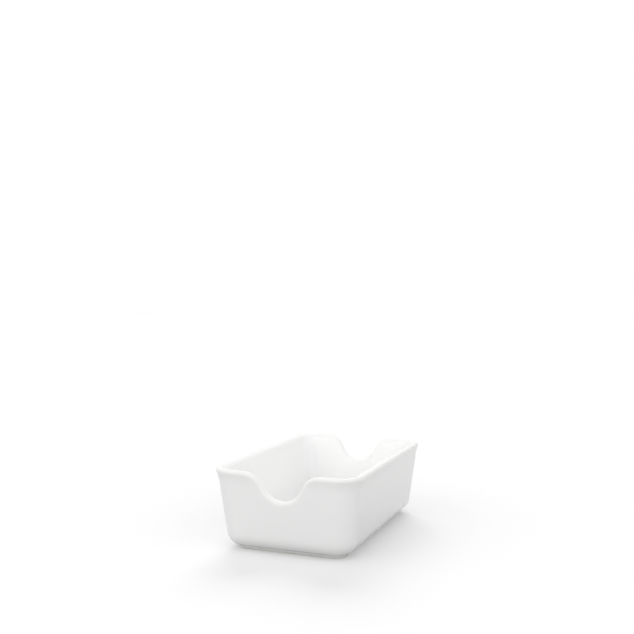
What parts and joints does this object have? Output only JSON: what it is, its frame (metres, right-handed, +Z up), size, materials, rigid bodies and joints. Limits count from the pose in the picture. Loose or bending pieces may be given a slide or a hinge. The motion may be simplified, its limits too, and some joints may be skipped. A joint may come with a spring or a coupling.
{
  "type": "sugar packet holder",
  "caption": "Open rectangular trough of white glazed porcelain on a low foot ring, with a finger notch in each end wall, for standing sugar packets on a table.",
  "frame": {"origin": "on the table, under the middle of the holder", "axes": "+Z up, +Y along the length from notch to notch, +X across the plain side walls"},
  "size_m": [0.075, 0.12, 0.04],
  "materials": {
    "bare_porcelain": "unglazed fired porcelain, fine and matt, seen only on the standing face of the foot",
    "white_glaze": "glossy white feldspar glaze",
    "base_white_glaze": "glossy white feldspar glaze, a little thinner and duller under the base"
  },
  "bodies": {
    "root": {"porcelain_body": "bare_porcelain", "glaze_coat": "white_glaze", "base_glaze": "base_white_glaze"}
  },
  "joints": []
}
